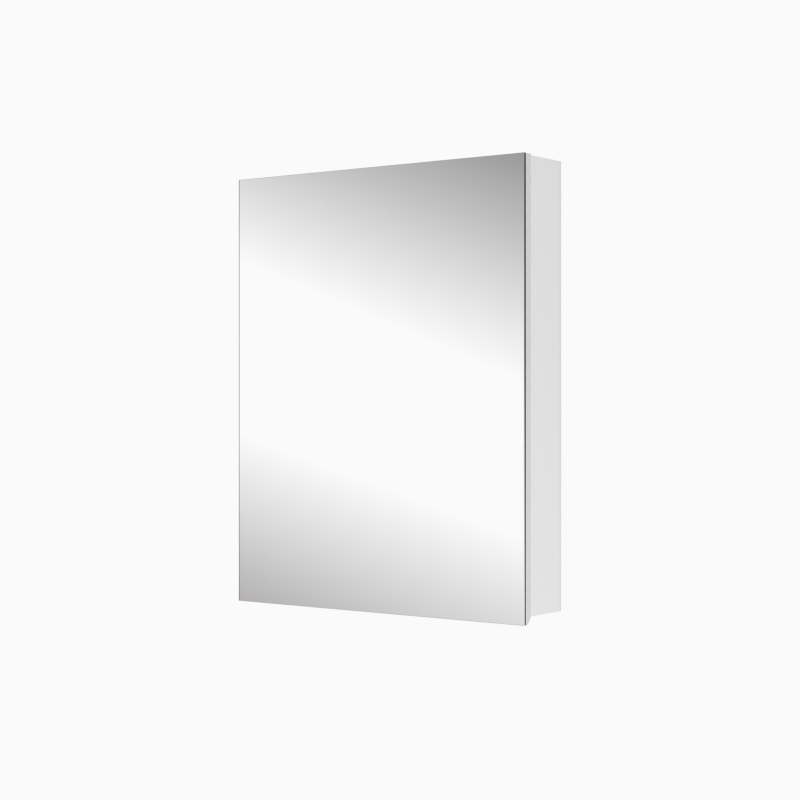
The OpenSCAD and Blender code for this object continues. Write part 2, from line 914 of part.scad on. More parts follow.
// Door board, bevelled under its back edge as a finger pull
module door_board() {
  color("white")
    difference() {
      run_x(-door_edge, door_w)
        polygon([
          [board_front, door_bottom],
          [door_back - grip_depth, door_bottom],
          [door_back, door_bottom + grip_height],
          [door_back, door_top],
          [board_front, door_top]
        ]);
      for (z = hinge_zs) {
        rod_y([cup_x, door_back - cup_depth, z], cup_d, cup_depth + cut);
        for (dz = cup_screw_zs)
          rod_y([cup_screw_x, door_back - screw_l, z + dz], screw_d, screw_l + cut);
      }
    }
}

// Mirror glass with a narrow ground edge round its front
module mirror_glass() {
  a = glass_arris + cut;
  middle_z = (door_top + door_bottom) / 2;
  color("gainsboro")
    translate([0, mirror_front, middle_z])
      difference() {
        block([-door_edge, 0, -door_h / 2], [door_edge, glass_t, door_h / 2]);
        both_sides()
          run_z(door_h + 2 * cut)
            translate([door_edge, 0])
              polygon([[-a, -cut], [cut, -cut], [cut, a]]);
        for (end = [0, 1])
          mirror([0, 0, end])
            run_x(-door_edge - cut, door_w + 2 * cut)
              translate([0, door_h / 2])
                polygon([[-cut, -a], [-cut, cut], [a, cut]]);
      }
}

module mirror_tape() {
  span = door_w - 2 * tape_inset - tape_w;
  color("dimgray")
    for (i = [0:tape_count - 1])
      translate([i * span / (tape_count - 1) - span / 2, 0, 0])
        block(
          [-tape_w / 2, mirror_back, door_bottom + tape_inset],
          [tape_w / 2, board_front, door_top - tape_inset]
        );
}

// Hinges

// Cup with a stepped pocket: narrow at the pins, wide where the arm comes in.
// Its flange is left open in front of the pocket, where the links swing out.
module hinge_cup(z) {
  body_r = cup_d / 2 - cup_play;
  rim = [body_r, cup_depth + flange_t];
  floor_y = door_back - cup_depth + cup_floor;
  pocket_h = cup_depth - cup_floor + flange_t + cut;
  narrow_x = -sqrt(pow(body_r - cup_wall, 2) - pow(link_pocket_w / 2, 2));
  wide_x = sqrt(pow(body_r - cup_wall, 2) - pow(pocket_w / 2, 2));
  hole = [short_pin.x, short_pin.y + open_pivot_shift];
  color("silver")
    translate([0, 0, z])
      difference() {
        union() {
          translate([cup_x, door_back - cup_depth, 0])
            rotate([-90, 0, 0])
              rotate_extrude()
                polygon(concat([[0, 0]], rounding([body_r, 0], [0, 0], rim, cup_round), [rim, [0, rim.y]]));
          rod_y([cup_x, door_back, 0], cup_d, flange_t);
          block(
            [cup_screw_x - flange_w / 2, door_back, -cup_screw_pitch / 2],
            [cup_screw_x + flange_w / 2, door_back + flange_t, cup_screw_pitch / 2]
          );
          for (dz = cup_screw_zs)
            rod_y([cup_screw_x, door_back, dz], flange_w, flange_t);
        }
        translate([cup_x, floor_y, 0]) {
          block([narrow_x, 0, -link_pocket_w / 2], [wide_x, pocket_h, link_pocket_w / 2]);
          block([wide_x - pocket_l, 0, -pocket_w / 2], [wide_x, pocket_h, pocket_w / 2]);
        }
        block(
          [cup_x - cup_d / 2 - cut, door_back, -link_pocket_w / 2],
          [cup_x, door_back + flange_t + cut, link_pocket_w / 2]
        );
        pin_z(long_pin, link_pin_d, cup_pin_l);
        pin_z(hole, link_pin_d + 2 * open_pivot_play, cup_pin_l + 2 * cup_wall);
        for (dz = cup_screw_zs)
          rod_y([cup_screw_x, door_back - cut, dz], screw_d, flange_t + 2 * cut);
      }
}

module upper_hinge_cup() {
  hinge_cup(hinge_zs[0]);
}

module lower_hinge_cup() {
  hinge_cup(hinge_zs[1]);
}

// Mounting plate: two tapered wings for the screws and a saddle for the arm
module hinge_plate(z) {
  saddle_top = arm_rise - arm_steel - arm_fit;
  saddle_w = arm_inner_w - 2 * arm_fit;
  root = [plate_root_w, saddle_w] / 2;
  tip = [plate_w, plate_screw_pitch] / 2;
  color("silver")
    translate([-side_in, plate_screw_y, z])
      difference() {
        union() {
          run_x(0, plate_t)
            polygon([
              [-root.x, -root.y],
              [-tip.x, -tip.y],
              [tip.x, -tip.y],
              [root.x, -root.y],
              root,
              tip,
              [-tip.x, tip.y],
              [-root.x, root.y]
            ]);
          for (dz = plate_screw_zs)
            rod_x([0, 0, dz], plate_w, plate_t);
          run_z(saddle_w)
            polygon([
              [0, -saddle_front],
              [saddle_top - saddle_bevel, -saddle_front],
              [saddle_top, -saddle_front + saddle_bevel],
              [saddle_top, saddle_back - saddle_bevel],
              [saddle_top - saddle_bevel, saddle_back],
              [0, saddle_back]
            ]);
        }
        for (dz = plate_screw_zs)
          rod_x([-cut, 0, dz], screw_d, plate_t + 2 * cut);
        for (y = arm_screw_ys)
          rod_x([plate_t, y, 0], adjuster_d, saddle_top);
      }
}

module upper_hinge_plate() {
  hinge_plate(hinge_zs[0]);
}

module lower_hinge_plate() {
  hinge_plate(hinge_zs[1]);
}

// Steel arm: two cheeks joined by a bent back, with the pivots in its nose.
// Its rear screw hole is open at the end, so that the arm slides on from the front.
module hinge_arm(z) {
  rear = front_y + arm_l;
  foot_x = -side_in + arm_lift;
  neck = [-side_in + arm_rise, front_y + arm_neck];
  crest = long_pivot + [arm_nose_r, arm_nose_r];
  rise = unit(crest - neck);
  inward = [rise.y, -rise.x];
  web_end = crest - rise * arm_web_back;
  inner_end = web_end + inward * arm_steel;
  inner_neck = neck + (inward - [1, 0]) * arm_steel / (1 - inward.x);
  outer_bend = rounding(neck, [neck.x, rear], crest, arm_bend_r);
  inner_bend = rounding(inner_neck, inner_end, [inner_neck.x, rear], arm_bend_r + arm_steel);
  cheek = [
    [foot_x, rear],
    [neck.x, rear],
    neck,
    crest,
    short_pivot + [arm_nose_r, 0],
    short_pivot - [arm_nose_r, 0],
    [short_pivot.x - 2 * arm_nose_r, front_y + arm_nose_r],
    [foot_x, front_y + arm_toe]
  ];
  color("silver")
    translate([0, 0, z])
      difference() {
        union() {
          for (side = [-1, 1])
            translate([0, 0, side * (arm_w - arm_steel) / 2])
              run_z(arm_steel) {
                polygon(rounded(cheek, [arm_foot_r, 0, arm_bend_r, arm_nose_r, 0, 0, 0, arm_foot_r]));
                translate(short_pivot)
                  circle(arm_nose_r);
              }
          run_z(arm_w)
            polygon(concat(
              [[neck.x, rear]],
              outer_bend,
              [web_end, inner_end],
              inner_bend,
              [[inner_neck.x, rear]]
            ));
        }
        for (p = [long_pivot, short_pivot, spring_pin])
          pin_z(p, link_pin_d, arm_w + 2 * cut);
        for (y = arm_screw_ys)
          rod_x([inner_neck.x - cut, plate_screw_y + y, 0], adjuster_d, arm_steel + 2 * cut);
        block(
          [inner_neck.x - cut, plate_screw_y + arm_screw_ys[1], -adjuster_d / 2],
          [neck.x + cut, rear + cut, adjuster_d / 2]
        );
      }
}

module upper_hinge_arm() {
  hinge_arm(hinge_zs[0]);
}

module lower_hinge_arm() {
  hinge_arm(hinge_zs[1]);
}

// Long link: two bowed plates on a sleeve round the arm's pivot. The sleeve has a
// flat that faces the closing spring while the door is shut.
module long_link(z) {
  plate_z = (link_stack_w - link_plate_t) / 2;
  bore = link_pin_d + 2 * link_play;
  to_spring = spring_pin - long_pivot;
  color("dimgray")
    translate([0, 0, z])
      difference() {
        union() {
          for (side = [-1, 1])
            translate([0, 0, side * plate_z]) {
              bowed_bar(long_pin, long_pivot, long_link_bow, link_w, link_plate_t);
              pin_z(long_pin, 2 * link_eye_r, link_plate_t);
            }
          pin_z(long_pivot, 2 * link_eye_r, link_stack_w);
        }
        pin_z(long_pivot, bore, link_stack_w + 2 * cut);
        pin_z(long_pin, bore, link_stack_w + 2 * cut);
        translate(long_pivot)
          rotate(atan2(to_spring.y, to_spring.x))
            block(
              [link_eye_r - sleeve_flat, -link_eye_r, link_plate_t - link_stack_w / 2],
              [link_eye_r + cut, link_eye_r, link_stack_w / 2 - link_plate_t]
            );
      }
}

module upper_long_link() {
  long_link(hinge_zs[0]);
}

module lower_long_link() {
  long_link(hinge_zs[1]);
}

// Short link: one thick bar between the plates of the long link
module short_link(z) {
  color("dimgray")
    translate([0, 0, z])
      difference() {
        run_z(short_link_t) {
          bar_2d(short_pivot, short_pin, link_w);
          for (p = [short_pivot, short_pin])
            translate(p)
              circle(link_eye_r);
        }
        pin_z(short_pivot, link_pin_d + 2 * link_play, short_link_t + 2 * cut);
        pin_z(short_pin, link_pin_d, short_link_t + 2 * cut);
      }
}

module upper_short_link() {
  short_link(hinge_zs[0]);
}

module lower_short_link() {
  short_link(hinge_zs[1]);
}

module arm_pins() {
  color("silver")
    for (z = hinge_zs)
      translate([0, 0, z])
        for (p = [long_pivot, short_pivot, spring_pin])
          pin_z(p, link_pin_d, arm_w);
}

module cup_pins() {
  color("silver")
    for (z = hinge_zs)
      translate([0, 0, z])
        pin_z(long_pin, link_pin_d, cup_pin_l);
}

module short_link_pins() {
  color("silver")
    for (z = hinge_zs)
      translate([0, 0, z])
        pin_z(short_pin, link_pin_d, cup_pin_l);
}

// Closing spring: a bowed leaf from its pin to the long link's sleeve, with a rolled end
module closing_springs() {
  end = long_pivot + unit(spring_pin - long_pivot) * (link_eye_r + spring_air + spring_roll_r);
  color("dimgray")
    for (z = hinge_zs)
      translate([0, 0, z])
        difference() {
          run_z(spring_w) {
            polygon(bowed_strip(end, spring_pin, spring_bow, spring_t));
            translate(end)
              circle(spring_roll_r);
            translate(spring_pin)
              circle(link_pin_d / 2 + spring_t);
          }
          pin_z(spring_pin, link_pin_d, spring_w + 2 * cut);
        }
}

// Screws, each with a cross recess

// Screw along +Z: its chamfered head above z = 0, its shank and its point below
module screw(d, l, tip_l, head_d, head_h) {
  r = d / 2;
  head_r = head_d / 2;
  tip_r = max(r - tip_l, screw_point_r);
  difference() {
    rotate_extrude()
      polygon([
        [0, -l],
        [tip_r, -l],
        [r, tip_l - l],
        [r, 0],
        [head_r, 0],
        [head_r, head_h - head_chamfer],
        [head_r - head_chamfer, head_h],
        [0, head_h]
      ]);
    translate([0, 0, head_h - drive_d])
      for (turn = [0, 90])
        rotate(turn)
          block([-drive_l / 2, -drive_w / 2, 0], [drive_l / 2, drive_w / 2, drive_d + cut]);
  }
}

module cup_screws() {
  color("silver")
    for (z = hinge_zs, dz = cup_screw_zs)
      translate([cup_screw_x, door_back + flange_t, z + dz])
        rotate([-90, 0, 0])
          screw(screw_d, screw_l, screw_tip_l, screw_head_d, screw_head_h);
}

module plate_screws() {
  color("silver")
    for (z = hinge_zs, dz = plate_screw_zs)
      translate([-side_in + plate_t, plate_screw_y, z + dz])
        rotate([0, 90, 0])
          screw(screw_d, screw_l, screw_tip_l, screw_head_d, screw_head_h);
}

module arm_screws() {
  color("silver")
    for (z = hinge_zs, y = arm_screw_ys)
      translate([-side_in + arm_rise, plate_screw_y + y, z])
        rotate([0, 90, 0])
          screw(adjuster_d, arm_rise - plate_t, adjuster_tip_l, adjuster_head_d, adjuster_head_h);
}

left_side();
right_side();
top_panel();
bottom_panel();
back_panel();
front_edging();
cam_locks();
cam_bolts();
cam_caps();
dowels();
upper_shelf();
lower_shelf();
shelf_pins();
shelf_pin_sleeves();
left_hanger_case();
right_hanger_case();
left_hanger_hook();
right_hanger_hook();
hanger_screws();
left_wall_plate();
right_wall_plate();
door_buffers();
door_board();
mirror_glass();
mirror_tape();
upper_hinge_cup();
lower_hinge_cup();
upper_hinge_plate();
lower_hinge_plate();
upper_hinge_arm();
lower_hinge_arm();
upper_long_link();
lower_long_link();
upper_short_link();
lower_short_link();
arm_pins();
cup_pins();
short_link_pins();
closing_springs();
cup_screws();
plate_screws();
arm_screws();
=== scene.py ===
"""Bathroom mirror cabinet: the finish of each piece, soft studio light and the camera.

All lengths are in metres. +X is to the right, +Y towards the wall and +Z up.
Scales of grain and noise are counts in a metre.
"""

import json
import math

import bpy
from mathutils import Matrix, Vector


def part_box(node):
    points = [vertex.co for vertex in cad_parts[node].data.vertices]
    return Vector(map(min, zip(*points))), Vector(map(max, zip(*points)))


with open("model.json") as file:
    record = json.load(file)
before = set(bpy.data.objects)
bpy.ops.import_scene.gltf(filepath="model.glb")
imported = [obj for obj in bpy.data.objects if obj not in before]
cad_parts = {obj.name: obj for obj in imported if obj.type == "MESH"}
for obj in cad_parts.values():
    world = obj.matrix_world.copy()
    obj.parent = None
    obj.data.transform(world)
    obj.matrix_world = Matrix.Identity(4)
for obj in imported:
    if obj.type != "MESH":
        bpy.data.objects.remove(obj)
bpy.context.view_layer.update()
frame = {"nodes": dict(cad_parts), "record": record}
nodes = frame["nodes"]

MM = 0.001


class Value:
    """A number, colour or vector in a finish. Sums on numbers add Math nodes."""

    def __init__(self, finish, socket):
        self.finish = finish
        self.socket = socket

    def math(self, operation, *values):
        return self.finish.math(operation, *values)

    def __add__(self, other):
        return self.math("ADD", self, other)

    def __radd__(self, other):
        return self.math("ADD", other, self)

    def __sub__(self, other):
        return self.math("SUBTRACT", self, other)

    def __rsub__(self, other):
        return self.math("SUBTRACT", other, self)

    def __mul__(self, other):
        return self.math("MULTIPLY", self, other)

    def __rmul__(self, other):
        return self.math("MULTIPLY", other, self)

    def __truediv__(self, other):
        return self.math("DIVIDE", self, other)

    def __rtruediv__(self, other):
        return self.math("DIVIDE", other, self)

    def __pow__(self, other):
        return self.math("POWER", self, other)

    def __gt__(self, other):
        return self.math("GREATER_THAN", self, other)

    def __lt__(self, other):
        return self.math("LESS_THAN", self, other)

    def __abs__(self):
        return self.math("ABSOLUTE", self)

    def at_least(self, other):
        return self.math("MAXIMUM", self, other)


class Finish:
    """A node tree under construction."""

    def __init__(self, owner):
        owner.use_nodes = True
        self.owner = owner
        self.tree = owner.node_tree
        self.tree.nodes.clear()

    @staticmethod
    def find(sockets, name):
        return next(s for s in sockets if name in (s.identifier, s.name))

    def node(self, kind, settings=None, sockets=None, result=0):
        """Adds a node: its type, its settings, what its sockets take and what it gives."""
        made = self.tree.nodes.new(kind)
        for name, value in (settings or {}).items():
            if name == "stops":
                stops = made.color_ramp.elements
                for place, colour in value[1:-1]:
                    stops.new(place).color = colour
                stops[0].position, stops[0].color = value[0]
                stops[-1].position, stops[-1].color = value[-1]
            else:
                setattr(made, name, value)
        for name, value in (sockets or {}).items():
            numbered = isinstance(name, int)
            target = made.inputs[name] if numbered else self.find(made.inputs, name)
            if isinstance(value, Value):
                self.tree.links.new(value.socket, target)
            else:
                target.default_value = value
        if not made.outputs:
            return made
        numbered = isinstance(result, int)
        return Value(self, made.outputs[result] if numbered else self.find(made.outputs, result))

    def math(self, operation, *values):
        sockets = dict(enumerate(values))
        return self.node("ShaderNodeMath", {"operation": operation}, sockets)

    def axes(self, vector):
        split = self.node("ShaderNodeSeparateXYZ", None, {"Vector": vector}).socket.node
        return [Value(self, s) for s in split.outputs]

    def place(self):
        """Where a point of the piece is, in the cabinet's own axes."""
        return self.node("ShaderNodeTexCoord", None, None, "Object")

    def facing(self):
        """Which way the surface faces, in the piece's own axes."""
        return self.node("ShaderNodeTexCoord", None, None, "Normal")

    def ray(self, name):
        """1 for rays of one kind, such as those from the camera."""
        return self.node("ShaderNodeLightPath", None, None, name)

    def stretched(self, vector, factors):
        sockets = {0: vector, 1: factors}
        return self.node("ShaderNodeVectorMath", {"operation": "MULTIPLY"}, sockets)

    def noise(self, vector, scale, detail=2.0, roughness=0.5, result="Fac"):
        sockets = {"Vector": vector, "Scale": scale, "Detail": detail, "Roughness": roughness}
        return self.node("ShaderNodeTexNoise", {"noise_dimensions": "3D"}, sockets, result)

    def mix(self, factor, first, second):
        sockets = {"Factor_Float": factor, "A_Color": first, "B_Color": second}
        settings = {"data_type": "RGBA", "clamp_factor": True}
        return self.node("ShaderNodeMix", settings, sockets, "Result_Color")

    def ramp(self, value, stops):
        return self.node("ShaderNodeValToRGB", {"stops": stops}, {"Fac": value}, "Color")

    def smooth(self, value, low, high):
        """0 below low, 1 above high, and a soft step between."""
        settings = {"interpolation_type": "SMOOTHSTEP"}
        sockets = {"Value": value, "From Min": low, "From Max": high}
        return self.node("ShaderNodeMapRange", settings, sockets, "Result")

    def bump(self, height, depth, strength=1.0):
        sockets = {"Height": height, "Distance": depth, "Strength": strength}
        return self.node("ShaderNodeBump", None, sockets, "Normal")

    def glow(self, colour):
        return self.node("ShaderNodeEmission", None, {"Color": colour})

    def clear(self):
        return self.node("ShaderNodeBsdfTransparent")

    def mix_shaders(self, factor, first, second):
        return self.node("ShaderNodeMixShader", None, {0: factor, 1: first, 2: second})

    def surface(self, **sockets):
        """Closes the finish with the main shader. Underscores stand for spaces."""
        named = {name.replace("_", " "): value for name, value in sockets.items()}
        return self.close(self.node("ShaderNodeBsdfPrincipled", None, named, "BSDF"))

    def close(self, shader, output="ShaderNodeOutputMaterial"):
        self.node(output, None, {"Surface": shader})
        return self.owner


def grey(level):
    return (level, level, level, 1.0)


def rgb(red, green, blue):
    return (red, green, blue, 1.0)


def linear(tone):
    """The light that a picture's tone from 0 to 1 stands for."""
    return ((tone + 0.055) / 1.055) ** 2.4


def new_finish(name):
    return Finish(bpy.data.materials.new(name))


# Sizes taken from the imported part

side_low, side_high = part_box("right_side")
top_low, top_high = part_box("top_panel")
bottom_low, bottom_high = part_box("bottom_panel")
back_low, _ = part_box("back_panel")
door_low, door_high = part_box("door_board")
glass_low, glass_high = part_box("mirror_glass")


# Boards

SKIN = 0.2 * MM
# The coat carries painted shade this far from the wall
PAINTED_WALL_SHADE = 9 * MM
PEARL = 2400.0
COAT_CLOUDS = 9.0

CHIP_TONES = [
    (0.0, rgb(0.20, 0.115, 0.05)),
    (0.35, rgb(0.36, 0.23, 0.115)),
    (0.7, rgb(0.50, 0.35, 0.19)),
    (1.0, rgb(0.62, 0.47, 0.29)),
]
CHIP_SIZES = (620.0, 1500.0)
CHIP_LAY = (1.0, 0.45, 0.7)
CHIP_FRAY = 1.1 * MM
CHIP_DUST = 2600.0

HARDBOARD_TONES = [
    (0.3, rgb(0.19, 0.105, 0.05)),
    (0.5, rgb(0.27, 0.16, 0.08)),
    (0.72, rgb(0.36, 0.23, 0.125)),
]

# The door's lacquer: a painted shadow as a dark line in front, next to the tape, then a painted
# highlight along the edge. The wood is bare in the bores, further in than this from the back, the
# edges and the bevel
PAINTED_TAPE_SHADOW = 0.7 * MM
PAINTED_EDGE_HIGHLIGHT = 2.6 * MM
LACQUERED_BACK = 0.6 * MM
LACQUERED_EDGE = 1 * MM
LACQUERED_BEVEL = 20 * MM


def between(value, low, high):
    return (value > low) * (value < high)


def under_skin(value, low, high):
    return between(value, low + SKIN, high - SKIN)


def chips(finish, place):
    """The colour and the height of raw chipboard."""
    ragged = finish.noise(place, CHIP_SIZES[1], 3.0, result="Color")
    shift = finish.stretched(ragged, (CHIP_FRAY, CHIP_FRAY, CHIP_FRAY))
    torn = finish.node("ShaderNodeVectorMath", {"operation": "ADD"}, {0: place, 1: shift})
    layers = []
    for scale in CHIP_SIZES:
        cells = {"Vector": finish.stretched(torn, CHIP_LAY), "Scale": scale}
        colour = finish.node("ShaderNodeTexVoronoi", None, cells, "Color")
        layers.append(finish.node("ShaderNodeSeparateColor", None, {"Color": colour}, "Red"))
    tone = 0.55 * layers[0] + 0.45 * layers[1]
    dust = finish.noise(place, CHIP_DUST, 3.0)
    return finish.ramp(0.75 * tone + 0.25 * dust, CHIP_TONES), tone * 0.6 + dust * 0.4


def coated_board():
    """White coated panels, raw in their grooves and holes, with painted shade darker next to the
    wall.
    """
    finish = new_finish("Coated board")
    place = finish.place()
    x, y, z = finish.axes(place)
    between_sides = abs(x) < side_low.x - SKIN
    in_side = under_skin(abs(x), side_low.x, side_high.x) * under_skin(z, side_low.z, side_high.z)
    in_top = under_skin(z, top_low.z, top_high.z) * between_sides
    in_bottom = under_skin(z, bottom_low.z, bottom_high.z) * between_sides
    raw = in_side.at_least(in_top).at_least(in_bottom)
    chip_colour, chip_height = chips(finish, place)
    pearl = finish.noise(place, PEARL)
    skin = finish.mix(finish.noise(place, COAT_CLOUDS), grey(0.792), grey(0.812))
    # Painted shade: the coat is drawn darker over its last few millimetres next to the wall
    skin = finish.mix(finish.smooth(y, -PAINTED_WALL_SHADE, 0.0), skin, grey(0.72))
    height = pearl * (1 - raw) * 0.15 + chip_height * raw
    return finish.surface(
        Base_Color=finish.mix(raw, skin, chip_colour),
        Roughness=0.36 + 0.1 * pearl + 0.4 * raw,
        Normal=finish.bump(height, 0.12 * MM, 0.5),
    )


def edging():
    finish = new_finish("Edging")
    place = finish.place()
    pearl = finish.noise(place, PEARL)
    return finish.surface(
        Base_Color=finish.mix(finish.noise(place, COAT_CLOUDS), grey(0.80), grey(0.82)),
        Roughness=0.32 + 0.1 * pearl,
        Normal=finish.bump(pearl, 0.02 * MM, 0.5),
    )


def back_board():
    """Hardboard: white in front, brown fibre behind and in the cuts."""
    finish = new_finish("Back board")
    place = finish.place()
    _, y, _ = finish.axes(place)
    raw = y > back_low.y + SKIN
    fibre = finish.noise(finish.stretched(place, (1.0, 1.0, 0.35)), 700.0, 4.0, 0.65)
    mesh = finish.noise(place, 1600.0)
    cloud = finish.noise(place, 14.0, 3.0)
    brown = finish.ramp(0.85 * fibre + 0.15 * cloud, HARDBOARD_TONES)
    white = finish.mix(cloud, rgb(0.77, 0.77, 0.765), rgb(0.795, 0.795, 0.79))
    return finish.surface(
        Base_Color=finish.mix(raw, white, brown),
        Roughness=0.42 + 0.36 * raw,
        Normal=finish.bump(fibre * raw + mesh * 0.2, 0.1 * MM, 0.5),
    )


def lacquer():
    finish = new_finish("Door lacquer")
    place = finish.place()
    x, y, z = finish.axes(place)
    peel = finish.noise(place, 380.0)
    bored = between(y, door_low.y, door_high.y - LACQUERED_BACK)
    bored = bored * (abs(x) < door_high.x - LACQUERED_EDGE)
    bored = bored * between(z, door_low.z + LACQUERED_BEVEL, door_high.z - LACQUERED_EDGE)
    fibre = finish.noise(place, 900.0, 3.0)
    wood = finish.mix(fibre, rgb(0.36, 0.25, 0.15), rgb(0.50, 0.37, 0.24))
    skin = finish.mix(finish.noise(place, 7.0), grey(0.658), grey(0.678))
    from_front = y - door_low.y
    # Painted highlight: a lighter band along the front of the door's edge
    skin = finish.mix(from_front < PAINTED_EDGE_HIGHLIGHT, skin, grey(0.80))
    # Painted shadow: a near black line at the very front, next to the tape
    skin = finish.mix(from_front < PAINTED_TAPE_SHADOW, skin, grey(0.07))
    return finish.surface(
        Base_Color=finish.mix(bored, skin, wood),
        Roughness=0.3 + 0.06 * peel + 0.4 * bored,
        Normal=finish.bump(peel, 0.03 * MM, 0.35),
    )


# Glass

FLAT = 0.95
SLOPING = 0.3
# Width of a painted dark reflection on the mirror's left rim, where the ground edge shows through
PAINTED_RIM_WIDTH = 2.2 * MM
SILVER = grey(0.955)
# Colour of that painted reflection
PAINTED_RIM_REFLECTION = rgb(0.30, 0.31, 0.31)
DEEP_GLASS = rgb(0.02, 0.021, 0.021)
BACK_PAINT = rgb(0.17, 0.19, 0.21)


def mirror():
    """Silvered front with a painted dark reflection on its left rim, ground arrises with a
    painted highlight on the upright ones, edges that darken with depth and carry painted light
    towards the bottom, painted back.
    """
    finish = new_finish("Mirror")
    x, y, z = finish.axes(finish.place())
    _, face_y, face_z = finish.axes(finish.facing())
    front = face_y < -FLAT
    back = face_y > FLAT
    ground = (face_y < -SLOPING) * (1 - front)
    haze = finish.noise(finish.place(), 900.0, 3.0)
    depth = (y - glass_low.y) / (glass_high.y - glass_low.y)
    height = (z - glass_low.z) / (glass_high.z - glass_low.z)
    # Painted light: the glass edge is drawn light at the bottom and near black at the top
    edge_with_painted_light = finish.mix(finish.smooth(height, 0.0, 0.7), grey(0.9), grey(0.03))
    edge = finish.mix(finish.smooth(depth, 0.2, 0.7), edge_with_painted_light, DEEP_GLASS)
    # Painted reflection: the silvered front is drawn dark along its left rim only, where the
    # ground edge shows through the glass
    painted_rim_mask = (abs(x) > glass_high.x - PAINTED_RIM_WIDTH) * (x < 0.0)
    colour = finish.mix(front, edge, finish.mix(painted_rim_mask, SILVER, PAINTED_RIM_REFLECTION))
    # Painted highlight: the upright arrises are drawn nearly white, greyer towards the top
    upright_arris_painted_highlight = finish.mix(finish.smooth(height, 0.6, 0.95), grey(0.98), grey(0.6))
    arris = finish.mix(abs(face_z) > SLOPING, upright_arris_painted_highlight, grey(0.28))
    colour = finish.mix(ground, colour, arris)
    colour = finish.mix(back, colour, BACK_PAINT)
    return finish.surface(
        Base_Color=colour,
        Metallic=front + ground,
        Roughness=0.004 * front + 0.4 * back + (1 - front) * (0.3 + 0.12 * haze),
        Specular_IOR_Level=0.2,
        Normal=finish.bump(haze * (1 - front), 0.02 * MM, 0.4),
    )


def shelf_glass():
    """Clear faces and a green ground rim."""
    finish = new_finish("Shelf glass")
    _, _, face_z = finish.axes(finish.facing())
    rim = abs(face_z) < 0.7
    haze = finish.noise(finish.place(), 500.0, 3.0)
    return finish.surface(
        Base_Color=finish.mix(rim, rgb(0.93, 0.975, 0.955), rgb(0.32, 0.62, 0.50)),
        Roughness=0.01 + rim * (0.12 + 0.1 * haze),
        Transmission_Weight=0.94,
        IOR=1.5,
    )


def foam_tape():
    finish = new_finish("Foam tape")
    cells = finish.noise(finish.place(), 2200.0, 3.0)
    return finish.surface(
        Base_Color=finish.mix(cells, rgb(0.035, 0.035, 0.037), rgb(0.075, 0.075, 0.078)),
        Roughness=0.85 + 0.1 * cells,
        Normal=finish.bump(cells, 0.15 * MM, 0.6),
    )


# Metals

EVEN = (1.0, 1.0, 1.0)


def metal(name, dark, light, roughness, grain=EVEN, scale=900.0, depth=0.01 * MM):
    """A metal whose grain is drawn out where a factor of grain is small."""
    finish = new_finish(name)
    place = finish.place()
    brushed = finish.noise(finish.stretched(place, grain), scale, 3.0, 0.6)
    cloud = finish.noise(place, 120.0, 3.0)
    return finish.surface(
        Base_Color=finish.mix(0.6 * brushed + 0.4 * cloud, dark, light),
        Metallic=1.0,
        Roughness=roughness + 0.14 * (brushed - 0.5) + 0.1 * (cloud - 0.5),
        Normal=finish.bump(brushed, depth, 0.35),
    )


def cast_zinc():
    dark, light = rgb(0.36, 0.36, 0.37), rgb(0.56, 0.56, 0.57)
    return metal("Cast zinc", dark, light, 0.46, scale=700.0, depth=0.05 * MM)


def plated_steel():
    dark, light = rgb(0.52, 0.52, 0.53), rgb(0.70, 0.70, 0.71)
    return metal("Zinc plated steel", dark, light, 0.34, (1.0, 1.0, 0.12))


def nickel_steel():
    dark, light = rgb(0.58, 0.565, 0.53), rgb(0.72, 0.70, 0.66)
    return metal("Nickel plated steel", dark, light, 0.25, (1.0, 0.15, 1.0), 1100.0)


def link_steel():
    dark, light = rgb(0.20, 0.20, 0.205), rgb(0.32, 0.32, 0.325)
    return metal("Dark plated steel", dark, light, 0.36, scale=1300.0)


def pin_steel():
    return metal("Bright pin steel", grey(0.55), grey(0.74), 0.2, (1.0, 1.0, 0.1), 1500.0)


def spring_steel():
    dark, light = rgb(0.13, 0.13, 0.145), rgb(0.24, 0.24, 0.26)
    return metal("Spring steel", dark, light, 0.32, (1.0, 1.0, 0.15), 1200.0)


def screw_steel():
    return metal("Screw steel", grey(0.46), rgb(0.66, 0.66, 0.67), 0.3, scale=1500.0)


# Plastics and wood

def white_plastic():
    finish = new_finish("White plastic")
    place = finish.place()
    grain = finish.noise(place, 1500.0, 3.0)
    cloud = finish.noise(place, 30.0)
    return finish.surface(
        Base_Color=finish.mix(cloud, rgb(0.76, 0.76, 0.75), rgb(0.79, 0.79, 0.78)),
        Roughness=0.42 + 0.12 * grain,
        Normal=finish.bump(grain, 0.05 * MM, 0.5),
    )


def clear_plastic():
    finish = new_finish("Clear soft plastic")
    grain = finish.noise(finish.place(), 900.0)
    return finish.surface(
        Base_Color=finish.mix(grain, rgb(0.82, 0.84, 0.84), rgb(0.88, 0.90, 0.90)),
        Roughness=0.24 + 0.1 * grain,
        Transmission_Weight=0.7,
        IOR=1.45,
    )


def beech():
    """Wood with its grain along X."""
    finish = new_finish("Beech")
    place = finish.place()
    grain = finish.noise(finish.stretched(place, (0.08, 1.0, 1.0)), 1400.0, 4.0, 0.6)
    flecks = finish.noise(finish.stretched(place, (0.3, 1.0, 1.0)), 2400.0)
    tone = 0.7 * grain + 0.3 * flecks
    return finish.surface(
        Base_Color=finish.mix(tone, rgb(0.36, 0.22, 0.11), rgb(0.60, 0.42, 0.25)),
        Roughness=0.55 + 0.15 * grain,
        Normal=finish.bump(grain, 0.1 * MM, 0.5),
    )


